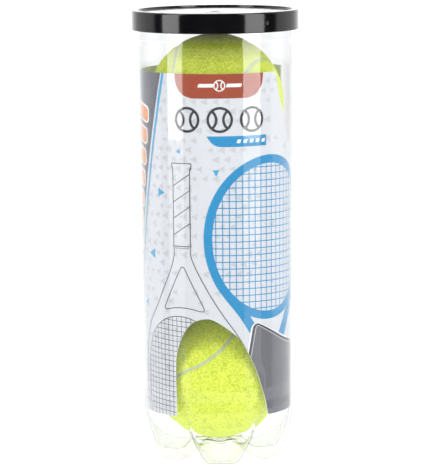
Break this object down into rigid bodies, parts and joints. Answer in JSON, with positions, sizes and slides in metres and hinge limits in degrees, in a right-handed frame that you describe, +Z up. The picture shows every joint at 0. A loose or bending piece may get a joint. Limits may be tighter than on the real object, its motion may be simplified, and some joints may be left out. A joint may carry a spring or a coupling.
{
  "type": "tennis ball can",
  "caption": "Clear plastic tube can with a footed base and a press-on lid, holding a stack of tennis balls behind a rolled printed card with a cut-out window.",
  "frame": {"origin": "centre of the can's axis on the surface that its feet stand on", "axes": "+Z up the can's axis towards the lid; -Y out of the middle of the card's printed side; +X to the right of that side"},
  "size_m": [0.0812, 0.0812, 0.2187],
  "materials": {
    "clear_plastic": "gloss",
    "lid_plastic": "gloss",
    "printed_card": "satin",
    "felt": "matte",
    "seam_rubber": "matte",
    "core_rubber": "matte"
  },
  "bodies": {
    "can": {"can_body": "clear_plastic", "printed_card": "printed_card"},
    "lid": {"lid": "lid_plastic"},
    "low_ball": {"low_ball_core_a": "core_rubber", "low_ball_core_b": "core_rubber", "low_ball_felt_a": "felt", "low_ball_felt_b": "felt", "low_ball_seam": "seam_rubber"},
    "middle_ball": {"middle_ball_core_a": "core_rubber", "middle_ball_core_b": "core_rubber", "middle_ball_felt_a": "felt", "middle_ball_felt_b": "felt", "middle_ball_seam": "seam_rubber"},
    "top_ball": {"top_ball_core_a": "core_rubber", "top_ball_core_b": "core_rubber", "top_ball_felt_a": "felt", "top_ball_felt_b": "felt", "top_ball_seam": "seam_rubber"}
  },
  "joints": [
    {"name": "lid_lift", "type": "slide", "parent": "can", "child": "lid", "axis": [0, 0, 1], "range_m": [0, 0.32]},
    {"name": "top_ball_lift", "type": "slide", "parent": "can", "child": "top_ball", "axis": [0, 0, 1], "range_m": [0, 0.288]},
    {"name": "middle_ball_lift", "type": "slide", "parent": "can", "child": "middle_ball", "axis": [0, 0, 1], "range_m": [0, 0.256]},
    {"name": "low_ball_lift", "type": "slide", "parent": "can", "child": "low_ball", "axis": [0, 0, 1], "range_m": [0, 0.224]}
  ],
  "couplings": [
    {"joint": "top_ball_lift", "follows": "lid_lift", "ratio": 0.9},
    {"joint": "middle_ball_lift", "follows": "lid_lift", "ratio": 0.8},
    {"joint": "low_ball_lift", "follows": "lid_lift", "ratio": 0.7}
  ]
}
